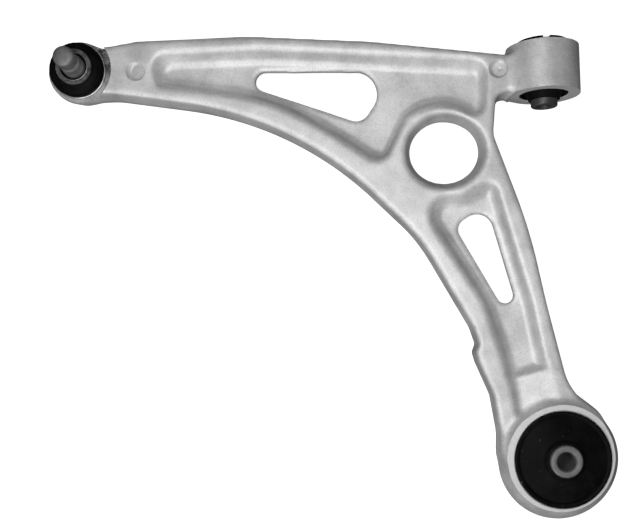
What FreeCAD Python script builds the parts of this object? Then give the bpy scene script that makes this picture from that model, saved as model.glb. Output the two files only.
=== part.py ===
import FreeCAD, Part
"""Front lower control arm, left-hand, of a passenger car: a forged aluminium arm with two
rubber bushes for the subframe and a ball joint for the wheel carrier.

Frame, in millimetres: the origin is the centre of the front bush, +X points inboard, +Y points
forward along the line through both bush centres, and +Z points up, the way the ball stud stands.
The arm is symmetric about Z = 0, its parting plane.
"""
import Sketcher
import math
import os

DOC = FreeCAD.newDocument("control_arm")
SHEET = DOC.addObject("Spreadsheet::Sheet", "sizes")

# Driving dimensions, in millimetres and degrees.
SIZES = {
    # places of the three ends
    "rear_bush_y": -296.7,
    "ball_joint_x": -355.3,
    "ball_joint_y": 11.9,
    "ball_centre_z": -1.0,
    # forging
    "rib_half_height": 15.0,
    "rib_draft": 7.0,
    "rib_edge_fillet": 3.0,
    "web_half_height": 3.5,
    "pocket_draft": 28.0,
    "end_panel_half_height": 9.0,
    "round_hole_x": -78.7,
    "round_hole_y": -59.3,
    "round_hole_half_length": 26.2,
    "round_hole_half_width": 23.6,
    "round_hole_rim_extra": 5.0,
    "forging_mark_radius": 7.0,
    "forging_mark_depth": 0.8,
    "outer_mark_x": -310.0,
    "outer_mark_y": 8.0,
    "inner_mark_x": -37.0,
    "inner_mark_y": 0.0,
    # front eye and bush, about the Y axis
    "front_eye_radius": 27.8,
    "front_eye_half_width": 18.0,
    "front_bore_radius": 18.7,
    "front_shell_wall": 1.5,
    "front_flange_radius": 20.0,
    "front_flange_thickness": 4.4,
    "front_notch_half_width": 2.5,
    "front_notch_depth": 5.0,
    "front_sleeve_radius": 10.2,
    "front_sleeve_bore_radius": 6.15,
    "front_sleeve_forward": 24.0,
    "front_sleeve_rearward": 27.0,
    "front_rubber_recess": 3.0,
    # rear eye and bush, about a vertical axis
    "rear_eye_y": -298.3,
    "rear_eye_radius": 46.2,
    "rear_eye_rim_radius": 43.0,
    "rear_eye_face_radius": 41.0,
    "rear_eye_half_height": 19.5,
    "rear_eye_edge_height": 3.5,
    "rear_bore_radius": 36.4,
    "rear_shell_half_height": 21.0,
    "rear_shell_wall": 1.8,
    "rear_cage_wall": 1.5,
    "rear_cage_half_height": 16.0,
    "rear_window_half_height": 9.5,
    "rear_window_angle": 150.0,
    "rear_channel_wall": 3.0,
    "rear_channel_half_height": 9.0,
    "rear_channel_angle": 146.0,
    "rear_chamber_radius": 15.8,
    "rear_chamber_half_height": 9.0,
    "rear_chamber_angle": 120.0,
    "rear_rubber_rim_height": 18.5,
    "rear_rubber_crown_height": 28.0,
    "rear_rubber_crown_radius": 13.6,
    "rear_sleeve_radius": 12.0,
    "rear_sleeve_bore_radius": 7.15,
    "rear_sleeve_half_height": 32.0,
    "rear_stop_radius": 15.5,
    "rear_stop_lobe_radius": 20.0,
    "rear_stop_half_height": 8.0,
    # ball joint, about a vertical axis
    "housing_radius": 23.2,
    "housing_bottom_radius": 19.2,
    "housing_bottom_z": -18.5,
    "housing_shoulder_z": 5.5,
    "spotface_radius": 26.5,
    "neck_radius": 18.6,
    "neck_top_z": 10.5,
    "neck_mouth_radius": 15.9,
    "race_radius": 16.5,
    "race_top_z": 5.5,
    "race_bottom_z": -14.5,
    "race_mouth_radius": 13.3,
    "race_bottom_radius": 6.3,
    "cap_radius": 17.3,
    "cap_thickness": 2.6,
    "cap_window_radius": 16.4,
    "ball_radius": 13.5,
    "stud_neck_radius": 8.2,
    "stud_shoulder_z": 24.0,
    "stud_pin_radius": 7.5,
    "stud_pin_z": 25.4,
    "stud_groove_radius": 6.0,
    "stud_groove_z": 35.5,
    "stud_groove_half_width": 3.2,
    "stud_tip_z": 49.0,
    "stud_dome_height": 3.0,
    "boot_wall": 1.6,
    "boot_bulge_radius": 20.5,
    "boot_collar_radius": 13.3,
    "boot_collar_z": 18.5,
    "boot_top_z": 22.4,
    "boot_ring_radius": 11.0,
    "boot_ring_wall": 0.9,
    "clamp_wire_radius": 0.8,
    "clamp_ring_radius": 20.1,
    "clamp_ring_z": 7.8,
    "fit_gap": 0.03,
    "running_gap": 0.05,
}

# Corners of the forging's outlines in plan, each (x, y, radius). The radius rounds the corner.
ARM_OUTLINE = [
    (-362.0, -9.5, 9.0), (-329.0, -9.0, 60.0), (-194.0, -32.0, 258.0), (-102.0, -126.0, 124.0),
    (-65.0, -194.0, 12.0), (-60.8, -207.3, 4.0), (-63.6, -213.0, 5.0), (-61.5, -221.0, 8.0),
    (-51.0, -247.0, 19.0), (-46.8, -276.0, 60.0), (-45.4, -296.0, 7.0), (31.0, -296.0, 7.0),
    (31.0, -259.0, 6.0),
    (9.0, -242.0, 42.0), (-5.0, -179.0, 150.0), (-16.0, -121.0, 150.0), (-40.5, -49.0, 18.0),
    (-37.5, -21.0, 6.0), (-14.0, -15.0, 6.0), (-14.0, 10.0, 6.0), (-133.0, 26.2, 150.0),
    (-227.0, 33.7, 150.0), (-309.0, 33.0, 30.0), (-334.0, 29.4, 30.0), (-362.0, 33.0, 9.0),
]
FRONT_POCKET = [
    (-304.5, 21.7, 13.0), (-214.0, 22.0, 150.0), (-45.0, 7.0, 13.0), (-48.0, -40.0, 9.0),
    (-84.5, -19.5, 40.0), (-107.5, -34.5, 6.0), (-126.0, -71.0, 12.0), (-205.6, -18.3, 175.0),
    (-294.0, -3.1, 5.0),
]
REAR_POCKET = [
    (-43.5, -82.0, 8.0), (-66.5, -94.0, 14.0), (-104.2, -94.0, 15.0), (-54.5, -177.0, 40.0),
    (-36.7, -237.0, 3.0), (-9.2, -228.5, 3.0), (-18.2, -177.0, 120.0),
]
END_PANEL = [
    (-38.5, -228.0, 2.0), (-31.5, -262.0, 2.0), (0.0, -262.0, 2.0), (-9.5, -222.0, 2.0),
]
FRONT_WINDOW = [
    (-260.0, 9.3, 7.5), (-134.0, 4.8, 16.0), (-125.8, -14.0, 17.5), (-141.0, -35.0, 11.0),
    (-170.6, -23.7, 200.0),
]
REAR_WINDOW = [
    (-47.6, -100.5, 12.5), (-73.0, -116.0, 9.0), (-39.9, -177.0, 6.2), (-27.8, -176.8, 6.2),
]


def fill_sheet():
    """Writes each driving dimension as a plain number with its alias."""
    for row, (name, value) in enumerate(SIZES.items(), start=1):
        SHEET.set(f"A{row}", name.replace("_", " "))
        SHEET.set(f"B{row}", str(value))
        SHEET.setAlias(f"B{row}", name)
    DOC.recompute()


def cell(text):
    """Turns words in a formula into references to the sheet's cells."""
    words = []
    for word in text.split():
        words.append("sizes." + word if word in SIZES else word)
    return " ".join(words)


def value(text):
    """The number that a formula of sheet names has now."""
    total, sign = 0.0, 1.0
    for word in str(text).split():
        if word in "+-":
            sign = 1.0 if word == "+" else -1.0
        else:
            total += sign * (SIZES[word] if word in SIZES else float(word))
            sign = 1.0
    return total


def new_body(label):
    body = DOC.addObject("PartDesign::Body", label)
    body.Label = label
    return body


def origin_item(body, role):
    """One of the body's own origin planes or axes, found by its role."""
    return next(item for item in body.Origin.OriginFeatures if item.Role == role)


def new_sketch(body, name, role="XY_Plane", offset=("0", "0", "0")):
    """A sketch on an origin plane of the body, shifted in that plane's own axes."""
    sketch = body.newObject("Sketcher::SketchObject", name)
    sketch.AttachmentSupport = [(origin_item(body, role), "")]
    sketch.MapMode = "FlatFace"
    for axis, formula in zip("xyz", offset):
        if formula != "0":
            sketch.setExpression(f"AttachmentOffset.Base.{axis}", cell(formula))
    return sketch


def bind(sketch, constraint, formula):
    """Adds a dimension to the sketch and ties it to the sheet where it names a cell."""
    index = sketch.addConstraint(constraint)
    if any(word in SIZES for word in formula.split()):
        sketch.setExpression(f"Constraints[{index}]", cell(formula))


def place_point(sketch, geometry, vertex, x, y):
    """Fixes a sketch point by its two distances from the sketch origin."""
    for kind, formula in (("DistanceX", x), ("DistanceY", y)):
        bind(sketch, Sketcher.Constraint(kind, -1, 1, geometry, vertex, value(formula)), formula)


def draw_profile(sketch, points):
    """A closed outline of straight edges through (x, y) formulas."""
    where = [FreeCAD.Vector(value(x), value(y), 0) for x, y in points]
    lines = []
    for index, start in enumerate(where):
        end = where[(index + 1) % len(where)]
        lines.append(sketch.addGeometry(Part.LineSegment(start, end), False))
    for index, line in enumerate(lines):
        following = lines[(index + 1) % len(lines)]
        sketch.addConstraint(Sketcher.Constraint("Coincident", line, 2, following, 1))
    for line, (x, y) in zip(lines, points):
        place_point(sketch, line, 1, x, y)


def rounded_corner(before, corner, after, radius):
    """The centre of the arc that rounds one corner, and the two ends where it meets the runs."""
    back = (before - corner).normalize()
    ahead = (after - corner).normalize()
    half_angle = back.getAngle(ahead) / 2
    reach = radius / math.tan(half_angle)
    centre = corner + (back + ahead).normalize() * (radius / math.sin(half_angle))
    return centre, corner + back * reach, corner + ahead * reach


def counterclockwise_arc(centre, arrive, leave, radius):
    """The short arc between two points, drawn counterclockwise, and which end is which."""
    angles = [math.atan2(end.y - centre.y, end.x - centre.x) for end in (arrive, leave)]
    turn = (angles[1] - angles[0]) % (2 * math.pi)
    first, last = angles if turn < math.pi else reversed(angles)
    circle = Part.Circle(centre, FreeCAD.Vector(0, 0, 1), radius)
    arrive_end, leave_end = (1, 2) if turn < math.pi else (2, 1)
    return Part.ArcOfCircle(circle, first, last), arrive_end, leave_end


def draw_rounded(sketch, corners):
    """A closed outline of straight runs and tangent arcs, one arc at each (x, y, radius)."""
    where = [FreeCAD.Vector(x, y, 0) for x, y, _ in corners]
    count = len(corners)
    bends = []
    for index, (_, _, radius) in enumerate(corners):
        before, after = where[index - 1], where[(index + 1) % count]
        centre, arrive, leave = rounded_corner(before, where[index], after, radius)
        arc, arrive_end, leave_end = counterclockwise_arc(centre, arrive, leave, radius)
        geometry = sketch.addGeometry(arc, False)
        bends.append((geometry, arrive, arrive_end, leave, leave_end))
        sketch.addConstraint(Sketcher.Constraint("Radius", geometry, radius))
        for kind, distance in (("DistanceX", centre.x), ("DistanceY", centre.y)):
            sketch.addConstraint(Sketcher.Constraint(kind, -1, 1, geometry, 3, distance))
    for index, (arc, _, _, leave, leave_end) in enumerate(bends):
        following, arrive, arrive_end, _, _ = bends[(index + 1) % count]
        line = sketch.addGeometry(Part.LineSegment(leave, arrive), False)
        sketch.addConstraint(Sketcher.Constraint("Tangent", arc, leave_end, line, 1))
        sketch.addConstraint(Sketcher.Constraint("Tangent", line, 2, following, arrive_end))


def draw_circle(sketch, radius, x="0", y="0"):
    centre = FreeCAD.Vector(value(x), value(y), 0)
    circle = sketch.addGeometry(
        Part.Circle(centre, FreeCAD.Vector(0, 0, 1), value(radius)), False
    )
    place_point(sketch, circle, 3, x, y)
    bind(sketch, Sketcher.Constraint("Radius", circle, value(radius)), radius)


def checked_change(body, feature, before, grows):
    """Recomputes and makes sure that the feature really added or removed material."""
    body.Tip = feature
    DOC.recompute()
    after = feature.Shape.Volume
    if (after > before) != grows or abs(after - before) < 1e-3:
        raise RuntimeError(f"{feature.Label} changed nothing: {before:.1f} to {after:.1f}")
    return feature


def volume_of(body):
    return body.Tip.Shape.Volume if body.Tip else 0.0


def extrude(body, name, sketch, length, kind="Pad", both_ways=False, draft=None, reverse=False):
    """A pad or pocket of a sketch, to one side or both, with straight or drafted walls."""
    before = volume_of(body)
    feature = body.newObject(f"PartDesign::{kind}", name)
    feature.Profile = sketch
    feature.SideType = "Two sides" if both_ways else "One side"
    feature.Reversed = reverse
    feature.setExpression("Length", cell(length))
    if both_ways:
        feature.setExpression("Length2", cell(length))
    if draft:
        feature.setExpression("TaperAngle", f"-sizes.{draft}")
        if both_ways:
            feature.setExpression("TaperAngle2", f"-sizes.{draft}")
    return checked_change(body, feature, before, kind == "Pad")


def turn_profile(body, name, points, kind="Revolution", centre=("0", "0")):
    """Revolves a (radius, height) outline about the vertical line through the centre."""
    before = volume_of(body)
    offset = (centre[0], "0", "0 - " + centre[1] if centre[1] != "0" else "0")
    sketch = new_sketch(body, name + "_profile", "XZ_Plane", offset)
    draw_profile(sketch, points)
    feature = body.newObject(f"PartDesign::{kind}", name)
    feature.Profile = sketch
    feature.ReferenceAxis = (sketch, ["V_Axis"])
    feature.Angle = 360.0
    return checked_change(body, feature, before, kind == "Revolution")


def fillet_edges(body, name, radius, chosen):
    """Rounds the edges of the body's tip that the test picks out."""
    before = volume_of(body)
    tip = body.Tip
    picked = [f"Edge{i}" for i, edge in enumerate(tip.Shape.Edges, start=1) if chosen(edge)]
    feature = body.newObject("PartDesign::Fillet", name)
    feature.Base = (tip, picked)
    feature.setExpression("Radius", cell(radius))
    return checked_change(body, feature, before, False)


def stand_at(body, x="0", y="0"):
    """Moves the body to its place in plan."""
    for axis, formula in (("x", x), ("y", y)):
        if formula != "0":
            body.setExpression(f"Placement.Base.{axis}", cell(formula))


def lay_forward(body):
    """Turns a body made about the Z axis so that its axis points along +Y."""
    body.Placement = FreeCAD.Placement(
        FreeCAD.Vector(0, 0, 0), FreeCAD.Rotation(FreeCAD.Vector(1, 0, 0), -90)
    )


def at_height(edge, height):
    return all(abs(abs(vertex.Z) - height) < 1e-4 for vertex in edge.Vertexes)


def make_arm_forging():
    """The I-section forging: drafted ribs round a thin web, two eyes and the ball housing."""
    arm = new_body("arm_forging")
    outline = new_sketch(arm, "arm_outline")
    draw_rounded(outline, ARM_OUTLINE)
    extrude(arm, "ribs", outline, "rib_half_height", both_ways=True, draft="rib_draft")
    rib_top = SIZES["rib_half_height"]
    fillet_edges(arm, "rib_edges", "rib_edge_fillet", lambda edge: at_height(edge, rib_top))
    add_eyes_and_housing(arm)
    sink_pockets(arm)
    cut_windows(arm)
    cut_bores(arm)
    return arm


def add_eyes_and_housing(arm):
    turn_profile(arm, "rear_eye", [
        ("0", "0 - rear_eye_half_height"), ("rear_eye_face_radius", "0 - rear_eye_half_height"),
        ("rear_eye_rim_radius", "rear_eye_edge_height - rear_eye_half_height"), ("rear_eye_radius", "0"),
        ("rear_eye_rim_radius", "rear_eye_half_height - rear_eye_edge_height"),
        ("rear_eye_face_radius", "rear_eye_half_height"), ("0", "rear_eye_half_height"),
    ], centre=("0", "rear_eye_y"))
    turn_profile(arm, "ball_housing", [
        ("0", "housing_bottom_z"), ("housing_bottom_radius - 1", "housing_bottom_z"),
        ("housing_bottom_radius", "housing_bottom_z + 1"), ("housing_radius", "0"),
        ("housing_radius - 0.3", "neck_top_z"), ("0", "neck_top_z"),
    ], centre=("ball_joint_x", "ball_joint_y"))
    front = new_sketch(arm, "front_eye_circle", "XZ_Plane")
    draw_circle(front, "front_eye_radius")
    extrude(arm, "front_eye", front, "front_eye_half_width", both_ways=True)


def sink_pockets(arm):
    """Drafted pockets from the upper and the lower face down to the web."""
    depth = "rib_half_height - web_half_height"
    panel_depth = "rib_half_height - end_panel_half_height"
    for face, side, reverse in (("upper", "", False), ("lower", "0 - ", True)):
        for name, corners, sink in (
            ("front_pocket", FRONT_POCKET, depth),
            ("rear_pocket", REAR_POCKET, depth),
            ("end_panel", END_PANEL, panel_depth),
        ):
            sketch = new_sketch(
                arm, f"{face}_{name}_outline", offset=("0", "0", side + "rib_half_height")
            )
            draw_rounded(sketch, corners)
            extrude(arm, f"{face}_{name}", sketch, sink, "Pocket",
                    draft="pocket_draft", reverse=reverse)


def cut_windows(arm):
    """The openings through the web, and the round hole with its flared rims."""
    for name, corners in (("front_window", FRONT_WINDOW), ("rear_window", REAR_WINDOW)):
        sketch = new_sketch(arm, name + "_outline")
        draw_rounded(sketch, corners)
        extrude(arm, name, sketch, "rib_half_height", "Pocket", both_ways=True)
    for name, rim_height in (
        ("upper_round_hole", "rib_half_height"), ("lower_round_hole", "0 - rib_half_height"),
    ):
        before = volume_of(arm)
        throat = ellipse_section(arm, name + "_throat", "0", "+ 0")
        rim = ellipse_section(arm, name + "_rim", rim_height, "+ round_hole_rim_extra")
        loft = arm.newObject("PartDesign::SubtractiveLoft", name)
        loft.Profile = throat
        loft.Sections = [rim]
        loft.Ruled = True
        checked_change(arm, loft, before, False)


def ellipse_section(arm, name, height, flare):
    """One oval of the round hole: its throat at the parting plane, or its flared rim."""
    section = new_sketch(arm, name, offset=("round_hole_x", "round_hole_y", height))
    half_length = value("round_hole_half_length " + flare)
    half_width = value("round_hole_half_width " + flare)
    origin = FreeCAD.Vector(0, 0, 0)
    oval = section.addGeometry(
        Part.Ellipse(FreeCAD.Vector(half_length, 0, 0), FreeCAD.Vector(0, half_width, 0), origin),
        False,
    )
    section.exposeInternalGeometry(oval)
    section.addConstraint(Sketcher.Constraint("Coincident", oval, 3, -1, 1))
    section.addConstraint(Sketcher.Constraint("Horizontal", oval + 1))
    bind(section, Sketcher.Constraint("Distance", oval + 1, 2 * half_length),
         f"2 * ( round_hole_half_length {flare} )")
    bind(section, Sketcher.Constraint("Distance", oval + 2, 2 * half_width),
         f"2 * ( round_hole_half_width {flare} )")
    return section


def cut_bores(arm):
    """Bores for the two bushes, and the turned neck, spotface and cavity of the ball joint."""
    front = new_sketch(arm, "front_bore_circle", "XZ_Plane")
    draw_circle(front, "front_bore_radius")
    extrude(arm, "front_bore", front, "front_eye_half_width", "Pocket", both_ways=True)
    rear = new_sketch(arm, "rear_bore_circle", offset=("0", "rear_bush_y", "0"))
    draw_circle(rear, "rear_bore_radius")
    extrude(arm, "rear_bore", rear, "rear_eye_half_height", "Pocket", both_ways=True)
    ball_axis = ("ball_joint_x", "ball_joint_y")
    above = "rib_half_height + 5"
    turn_profile(arm, "spotface", [
        ("neck_radius", "housing_shoulder_z"), ("spotface_radius", "housing_shoulder_z"),
        ("spotface_radius", above), ("0", above), ("0", "neck_top_z"),
        ("neck_radius", "neck_top_z"),
    ], "Groove", ball_axis)
    cavity_radius = "race_radius + fit_gap"
    turn_profile(arm, "race_cavity", [
        ("0", "housing_bottom_z - 1"), ("cap_window_radius", "housing_bottom_z - 1"),
        ("cap_window_radius", "race_bottom_z - fit_gap - cap_thickness"),
        ("cap_radius + fit_gap", "race_bottom_z - fit_gap - cap_thickness"),
        ("cap_radius + fit_gap", "race_bottom_z"), (cavity_radius, "race_bottom_z"),
        (cavity_radius, "race_top_z + fit_gap"), ("race_mouth_radius + 0.6", "race_top_z + fit_gap"),
        ("neck_mouth_radius", "neck_top_z"), ("neck_mouth_radius", above), ("0", above),
    ], "Groove", ball_axis)
    for name, x, y in (
        ("outer_forging_mark", "outer_mark_x", "outer_mark_y"),
        ("inner_forging_mark", "inner_mark_x", "inner_mark_y"),
    ):
        mark = new_sketch(arm, name + "_circle", offset=(x, y, "rib_half_height"))
        draw_circle(mark, "forging_mark_radius")
        extrude(arm, name, mark, "forging_mark_depth", "Pocket")


def turned_part(label, points, groove=None):
    """A body revolved from one outline, with at most one turned groove."""
    body = new_body(label)
    turn_profile(body, label + "_blank", points)
    if groove:
        turn_profile(body, label + "_groove", groove, "Groove")
    return body


def tube_profile(inner, outer, low, high, chamfer="0.8"):
    """Outline of a tube's wall with its outer ends broken."""
    return [
        (inner, low), (outer + " - " + chamfer, low), (outer, low + " + " + chamfer),
        (outer, high + " - " + chamfer), (outer + " - " + chamfer, high), (inner, high),
    ]


def make_front_bush():
    """A rubber bush about the Y axis: shell pressed in the eye, rubber, and inner sleeve."""
    half = "front_eye_half_width"
    inner = "front_bore_radius - front_shell_wall"
    shell = turned_part("front_bush_shell", [
        (inner, "0.5 - " + half), ("front_bore_radius - fit_gap", "0.5 - " + half),
        ("front_bore_radius - fit_gap", half), (inner, half),
    ])
    bond, core = inner + " - fit_gap", "front_sleeve_radius + fit_gap"
    face, foot = half + " + front_flange_thickness", half + " + fit_gap"
    rubber = turned_part("front_bush_rubber", [
        (core, "5 - front_sleeve_rearward"), (core + " + 1.6", "5 - front_sleeve_rearward"),
        (core + " + 3.2", "front_rubber_recess - 1 - " + half),
        (bond, "front_rubber_recess - " + half), (bond, foot), ("front_flange_radius", foot),
        ("front_flange_radius", face + " - 1"), ("front_flange_radius - 1", face), (core, face),
    ])
    notch = new_sketch(rubber, "notch_outline", "YZ_Plane")
    floor = "front_notch_depth - front_flange_radius"
    beyond = "0 - 2 - front_flange_radius"
    draw_profile(notch, [
        (beyond, face + " - 3"), (floor, face + " - 3"), (floor, face + " + 1"),
        (beyond, face + " + 1"),
    ])
    extrude(rubber, "flange_notch", notch, "front_notch_half_width", "Pocket", both_ways=True)
    sleeve = turned_part("front_bush_sleeve", tube_profile(
        "front_sleeve_bore_radius", "front_sleeve_radius",
        "0 - front_sleeve_rearward", "front_sleeve_forward"))
    for body in (shell, rubber, sleeve):
        lay_forward(body)
    return [shell, rubber, sleeve]


def cut_sector_pair(body, name, inner, outer, half_height, angle):
    """Cuts one ring sector centred on +X and repeats it on the opposite side."""
    before = volume_of(body)
    sketch = new_sketch(body, name + "_section", "XZ_Plane")
    draw_profile(sketch, [
        (inner, "0 - " + half_height), (outer, "0 - " + half_height),
        (outer, half_height), (inner, half_height),
    ])
    groove = body.newObject("PartDesign::Groove", name)
    groove.Profile = sketch
    groove.ReferenceAxis = (sketch, ["V_Axis"])
    groove.Midplane = True
    groove.setExpression("Angle", "sizes." + angle)
    checked_change(body, groove, before, False)
    single = volume_of(body)
    pattern = body.newObject("PartDesign::PolarPattern", name + "_pair")
    pattern.Originals = [groove]
    pattern.Axis = (origin_item(body, "Z_Axis"), [""])
    pattern.Angle = 360.0
    pattern.Occurrences = 2
    checked_change(body, pattern, single, False)


def make_sector(label, inner, outer, half_height, angle, turned_by):
    """A ring sector centred on +X, or turned about Z from there."""
    body = new_body(label)
    sketch = new_sketch(body, label + "_section", "XZ_Plane")
    draw_profile(sketch, [
        (inner, "0 - " + half_height), (outer, "0 - " + half_height),
        (outer, half_height), (inner, half_height),
    ])
    sector = body.newObject("PartDesign::Revolution", label + "_arc")
    sector.Profile = sketch
    sector.ReferenceAxis = (sketch, ["V_Axis"])
    sector.Midplane = True
    sector.setExpression("Angle", "sizes." + angle)
    checked_change(body, sector, 0.0, True)
    body.Placement.Rotation = FreeCAD.Rotation(FreeCAD.Vector(0, 0, 1), turned_by)
    return body


def make_rear_bush():
    """A fluid-filled bush about a vertical axis, built from the outside in."""
    shell_inner = "rear_bore_radius - rear_shell_wall"
    shell = turned_part("rear_bush_shell", tube_profile(
        shell_inner, "rear_bore_radius - fit_gap",
        "0 - rear_shell_half_height", "rear_shell_half_height", "0.6"))
    cage_outer = shell_inner + " - fit_gap"
    cage_inner = shell_inner + " - rear_cage_wall"
    cage = turned_part("rear_bush_cage", [
        (cage_inner, "0 - rear_cage_half_height"), (cage_outer, "0 - rear_cage_half_height"),
        (cage_outer, "rear_cage_half_height"), (cage_inner, "rear_cage_half_height"),
    ])
    cut_sector_pair(cage, "windows", cage_inner + " - 1", cage_outer + " + 1",
                    "rear_window_half_height", "rear_window_angle")
    channel_outer = shell_inner + " - 0.1"
    channel_inner = channel_outer + " - rear_channel_wall"
    channels = []
    for label, turned_by in (("fluid_channel_inboard", 0), ("fluid_channel_outboard", 180)):
        channel = make_sector(label, channel_inner, channel_outer,
                              "rear_channel_half_height", "rear_channel_angle", turned_by)
        turn_profile(channel, label + "_track", [
            (channel_outer + " - 1.5", "0 - 1.5"), (channel_outer + " + 1", "0 - 1.5"),
            (channel_outer + " + 1", "1.5"), (channel_outer + " - 1.5", "1.5"),
        ], "Groove")
        channels.append(channel)
    rubber = make_rear_rubber(cage_inner, cage_outer, channel_inner)
    sleeve = turned_part("rear_bush_sleeve", [
        ("rear_sleeve_bore_radius", "1 - rear_sleeve_half_height"),
        ("rear_sleeve_bore_radius + 1", "0 - rear_sleeve_half_height"),
        ("rear_sleeve_radius - 0.8", "0 - rear_sleeve_half_height"),
        ("rear_sleeve_radius", "0.8 - rear_sleeve_half_height"),
        ("rear_sleeve_radius", "rear_sleeve_half_height - 0.8"),
        ("rear_sleeve_radius - 0.8", "rear_sleeve_half_height"),
        ("rear_sleeve_bore_radius + 1", "rear_sleeve_half_height"),
        ("rear_sleeve_bore_radius", "rear_sleeve_half_height - 1"),
    ])
    stop = turned_part("rear_bush_stop", [
        ("rear_sleeve_radius + fit_gap", "0 - rear_stop_half_height"),
        ("rear_stop_lobe_radius", "0 - rear_stop_half_height"),
        ("rear_stop_lobe_radius", "rear_stop_half_height"),
        ("rear_sleeve_radius + fit_gap", "rear_stop_half_height"),
    ])
    trim_stop_lobes(stop)
    bodies = [shell, cage, *channels, rubber, sleeve, stop]
    for body in bodies:
        stand_at(body, y="rear_bush_y")
    return bodies


def trim_stop_lobes(stop):
    """Leaves the travel stop's full radius only on the two lobes that face the chambers."""
    flank = new_sketch(stop, "flank_outline")
    draw_profile(flank, [
        ("0 - rear_stop_lobe_radius - 1", "rear_stop_radius - 2.6"),
        ("rear_stop_lobe_radius + 1", "rear_stop_radius - 2.6"),
        ("rear_stop_lobe_radius + 1", "rear_stop_lobe_radius + 1"),
        ("0 - rear_stop_lobe_radius - 1", "rear_stop_lobe_radius + 1"),
    ])
    extrude(stop, "forward_flat", flank, "rear_stop_half_height + 1", "Pocket", both_ways=True)
    single = volume_of(stop)
    pattern = stop.newObject("PartDesign::PolarPattern", "flats")
    pattern.Originals = [stop.Tip]
    pattern.Axis = (origin_item(stop, "Z_Axis"), [""])
    pattern.Angle = 360.0
    pattern.Occurrences = 2
    checked_change(stop, pattern, single, False)


def make_rear_rubber(cage_inner, cage_outer, channel_inner):
    """The rubber spring: a cone at each end, and a chamber behind each window of the cage."""
    bond, core = cage_inner + " - fit_gap", "rear_sleeve_radius + fit_gap"
    rim, crown = "rear_rubber_rim_height", "rear_rubber_crown_height"
    stop_side = "rear_stop_lobe_radius + 0.3"
    stop_top, stop_foot = "rear_stop_half_height + fit_gap", "0 - rear_stop_half_height - fit_gap"
    cage_top, cage_foot = "rear_cage_half_height + fit_gap", "0 - rear_cage_half_height - fit_gap"
    rubber = turned_part("rear_bush_rubber", [
        (core, "0 - " + crown), ("rear_rubber_crown_radius", "0 - " + crown),
        ("rear_rubber_crown_radius + 3", "3.5 - " + crown), (cage_outer, "0 - " + rim),
        (cage_outer, cage_foot), (bond, cage_foot), (bond, cage_top),
        (cage_outer, cage_top), (cage_outer, rim),
        ("rear_rubber_crown_radius + 3", crown + " - 3.5"), ("rear_rubber_crown_radius", crown),
        (core, crown), (core, stop_top), (stop_side, stop_top),
        (stop_side, stop_foot), (core, stop_foot),
    ])
    cut_sector_pair(rubber, "channel_seats", channel_inner + " - 0.1", cage_outer + " + 1",
                    "rear_window_half_height", "rear_window_angle")
    cut_sector_pair(rubber, "chambers", "rear_chamber_radius", channel_inner + " + 1",
                    "rear_chamber_half_height", "rear_chamber_angle")
    return rubber


def make_ball_joint():
    """The ball stud in its plastic race, the closing cap, and the boot with its two rings."""
    race = turned_part("ball_race", [
        ("race_bottom_radius", "race_bottom_z"), ("race_radius", "race_bottom_z"),
        ("race_radius", "race_top_z"), ("race_mouth_radius", "race_top_z"),
        ("race_bottom_radius", "0 - 4"),
    ])
    turn_half_disc(race, "seat", "ball_radius + running_gap", "ball_centre_z", "Groove")
    cap_floor = "race_bottom_z - fit_gap - cap_thickness"
    cap = turned_part("closing_cap", [
        ("0", "race_bottom_z - fit_gap"), ("cap_radius", "race_bottom_z - fit_gap"),
        ("cap_radius", cap_floor + " + fit_gap"), ("cap_window_radius - 2", cap_floor + " + fit_gap"),
        ("cap_window_radius - 5", cap_floor + " + 1"), ("0", cap_floor + " + 1"),
    ])
    stud = make_ball_stud()
    boot = make_dust_boot()
    ring = turned_part("boot_upper_ring", [
        ("boot_ring_radius - boot_ring_wall", "boot_collar_z + 0.3"),
        ("boot_ring_radius", "boot_collar_z + 0.3"), ("boot_ring_radius", "boot_top_z - 0.3"),
        ("boot_ring_radius - boot_ring_wall", "boot_top_z - 0.3"),
    ])
    clamp = new_body("boot_clamp_ring")
    wire = new_sketch(clamp, "wire_section", "XZ_Plane")
    draw_circle(wire, "clamp_wire_radius", "clamp_ring_radius", "clamp_ring_z")
    loop = clamp.newObject("PartDesign::Revolution", "wire_loop")
    loop.Profile = wire
    loop.ReferenceAxis = (wire, ["V_Axis"])
    loop.Angle = 360.0
    checked_change(clamp, loop, 0.0, True)
    bodies = [race, cap, stud, boot, ring, clamp]
    for body in bodies:
        stand_at(body, "ball_joint_x", "ball_joint_y")
    return bodies


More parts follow.
